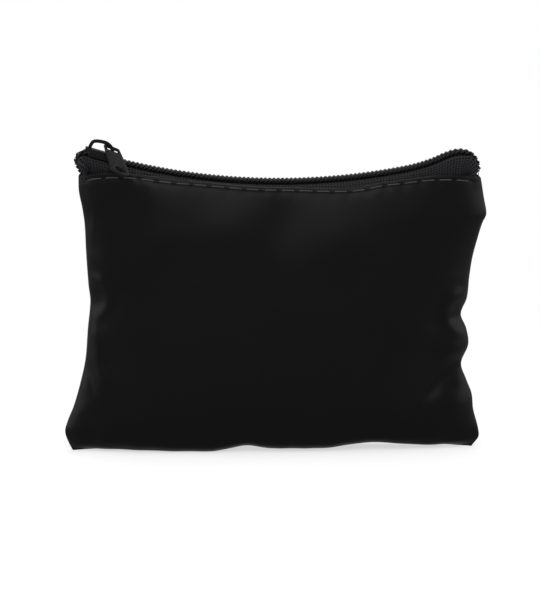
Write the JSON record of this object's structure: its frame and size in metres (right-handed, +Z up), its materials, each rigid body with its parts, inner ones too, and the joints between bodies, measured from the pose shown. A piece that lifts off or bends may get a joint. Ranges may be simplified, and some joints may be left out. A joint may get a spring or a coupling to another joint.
{
  "type": "zip coin purse",
  "caption": "Small flat purse of smooth black coated cloth with a nylon coil zip along its top, a slider and a swinging pull tab with a round hole.",
  "frame": {"origin": "middle of the bottom seam on the surface that the purse stands on, in the plane where the two panels meet", "axes": "+X along the zip from the closed end where the slider rests to the other end, front faces -Y, +Z up"},
  "size_m": [0.1236, 0.0276, 0.0922],
  "materials": {
    "coated_cloth": "smooth, soft satin sheen",
    "zip_tape": "woven, matt",
    "nylon_coil": "satin",
    "painted_zinc": "satin black paint",
    "sewing_thread": "twisted thread"
  },
  "bodies": {
    "purse": {"front_panel": "coated_cloth", "rear_panel": "coated_cloth", "front_zip_tape": "zip_tape", "rear_zip_tape": "zip_tape", "front_coil": "nylon_coil", "rear_coil": "nylon_coil", "front_coil_cord": "zip_tape", "rear_coil_cord": "zip_tape", "front_coil_thread": "sewing_thread", "rear_coil_thread": "sewing_thread", "front_top_stitches": "sewing_thread", "front_bobbin_stitches": "sewing_thread", "rear_top_stitches": "sewing_thread", "rear_bobbin_stitches": "sewing_thread", "left_seam_stitches": "sewing_thread", "right_seam_stitches": "sewing_thread", "bottom_seam_stitches": "sewing_thread"},
    "slider": {"slider_body": "painted_zinc", "slider_bail": "painted_zinc"},
    "pull": {"pull_tab": "painted_zinc"}
  },
  "joints": [
    {"name": "slider_travel", "type": "hinge", "parent": "purse", "child": "slider", "pos_m": [0.0025, 0, 0.2704], "axis": [0, -1, 0], "range_deg": [0, 26]},
    {"name": "pull_swing", "type": "hinge", "parent": "slider", "child": "pull", "pos_m": [-0.04728, 0, 0.08908], "axis": [-0.96, 0, 0.2799], "range_deg": [0, 34]}
  ]
}
